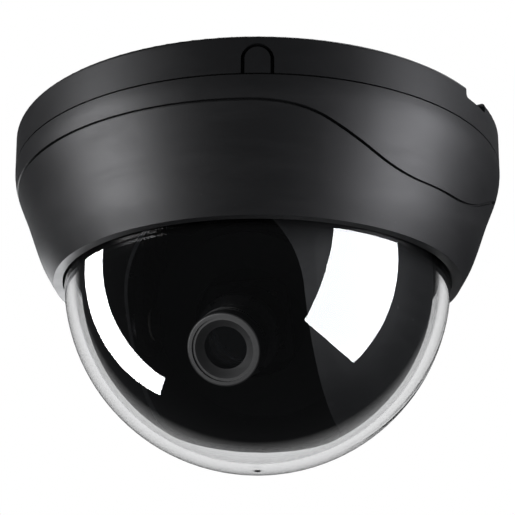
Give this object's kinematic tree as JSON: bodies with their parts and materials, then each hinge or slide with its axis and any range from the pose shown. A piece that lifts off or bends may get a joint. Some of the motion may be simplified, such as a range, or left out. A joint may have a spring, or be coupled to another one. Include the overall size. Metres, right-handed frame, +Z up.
{
  "type": "dome camera",
  "caption": "Ceiling dome camera: round base, dark cover, clear bubble, slotted inner shroud, and a lens module that pans, tilts and rotates.",
  "frame": {"origin": "centre of the ceiling face, on the circle of the three ceiling screws", "axes": "+Z up into the ceiling, so the camera hangs into -Z; -Y towards the side cable knockout; +X to the right of someone facing the knockout"},
  "size_m": [0.0998, 0.0998, 0.0672],
  "materials": {
    "housing_plastic": "satin, fine moulded texture",
    "shroud_plastic": "smooth black",
    "clear_bubble": "clear polycarbonate",
    "black_plastic": "matte",
    "black_steel": "matte black coating",
    "steel": "zinc plated",
    "black_screw": "black oxide",
    "nylon": "natural nylon",
    "seal_foam": "closed-cell foam",
    "board": "solder mask",
    "brass": "nickel-free turned brass",
    "chip": "moulded package",
    "ceramic": "ceramic package",
    "optic_glass": "coated",
    "filter_glass": "infrared filter, blue-green",
    "lens_metal": "black anodised",
    "can_metal": "sleeve-less can",
    "socket_plastic": "natural white"
  },
  "bodies": {
    "base": {"base_plate": "housing_plastic", "cable_knockout": "housing_plastic", "pan_clamps": "steel", "pan_clamp_screws": "steel", "pan_friction_ring": "nylon"},
    "pan_head": {"pan_turntable": "black_plastic", "tilt_bracket": "black_steel", "bracket_screws": "black_screw", "lens_shroud": "shroud_plastic", "shroud_screws": "black_screw"},
    "tilt_head": {"tilt_frame": "black_plastic", "tilt_spacers": "nylon", "tilt_washers": "steel", "tilt_screws": "steel"},
    "camera": {"module_carrier": "black_plastic", "carrier_retainer": "black_plastic", "retainer_screws": "black_screw", "sensor_board": "board", "power_board": "board", "board_standoffs": "brass", "board_screws": "steel", "image_sensor": "ceramic", "sensor_window": "optic_glass", "lens_holder": "black_plastic", "infrared_filter": "filter_glass", "lens_lock_ring": "lens_metal", "board_link": "chip", "video_processor": "chip", "filter_capacitors": "can_metal", "supply_coil": "chip", "power_socket": "socket_plastic"},
    "lens": {"lens_barrel": "lens_metal", "lens_front_ring": "lens_metal", "lens_front_glass": "optic_glass", "lens_rear_glass": "optic_glass"},
    "cover": {"cover_shell": "housing_plastic", "dome_gasket": "seal_foam", "dome_bubble": "clear_bubble", "dome_ring": "black_plastic", "dome_ring_screws": "steel"}
  },
  "joints": [
    {"name": "pan", "type": "hinge", "parent": "base", "child": "pan_head", "pos_m": [0, 0, 0], "axis": [0, 0, 1], "range_deg": [-154.5, 185.5]},
    {"name": "tilt", "type": "hinge", "parent": "pan_head", "child": "tilt_head", "pos_m": [0, 0, -0.03565], "axis": [0.9636, -0.2672, 0], "range_deg": [-20, 60]},
    {"name": "camera_roll", "type": "hinge", "parent": "tilt_head", "child": "camera", "pos_m": [0, 0, -0.03565], "axis": [-0.2314, -0.8345, -0.5], "range_deg": [-90, 90]},
    {"name": "focus_turn", "type": "hinge", "parent": "camera", "child": "lens", "pos_m": [0, 0, -0.03565], "axis": [-0.2314, -0.8345, -0.5], "range_deg": [-180, 180]},
    {"name": "cover_twist", "type": "hinge", "parent": "base", "child": "cover", "pos_m": [0, 0, 0], "axis": [0, 0, 1], "range_deg": [0, 15]}
  ]
}
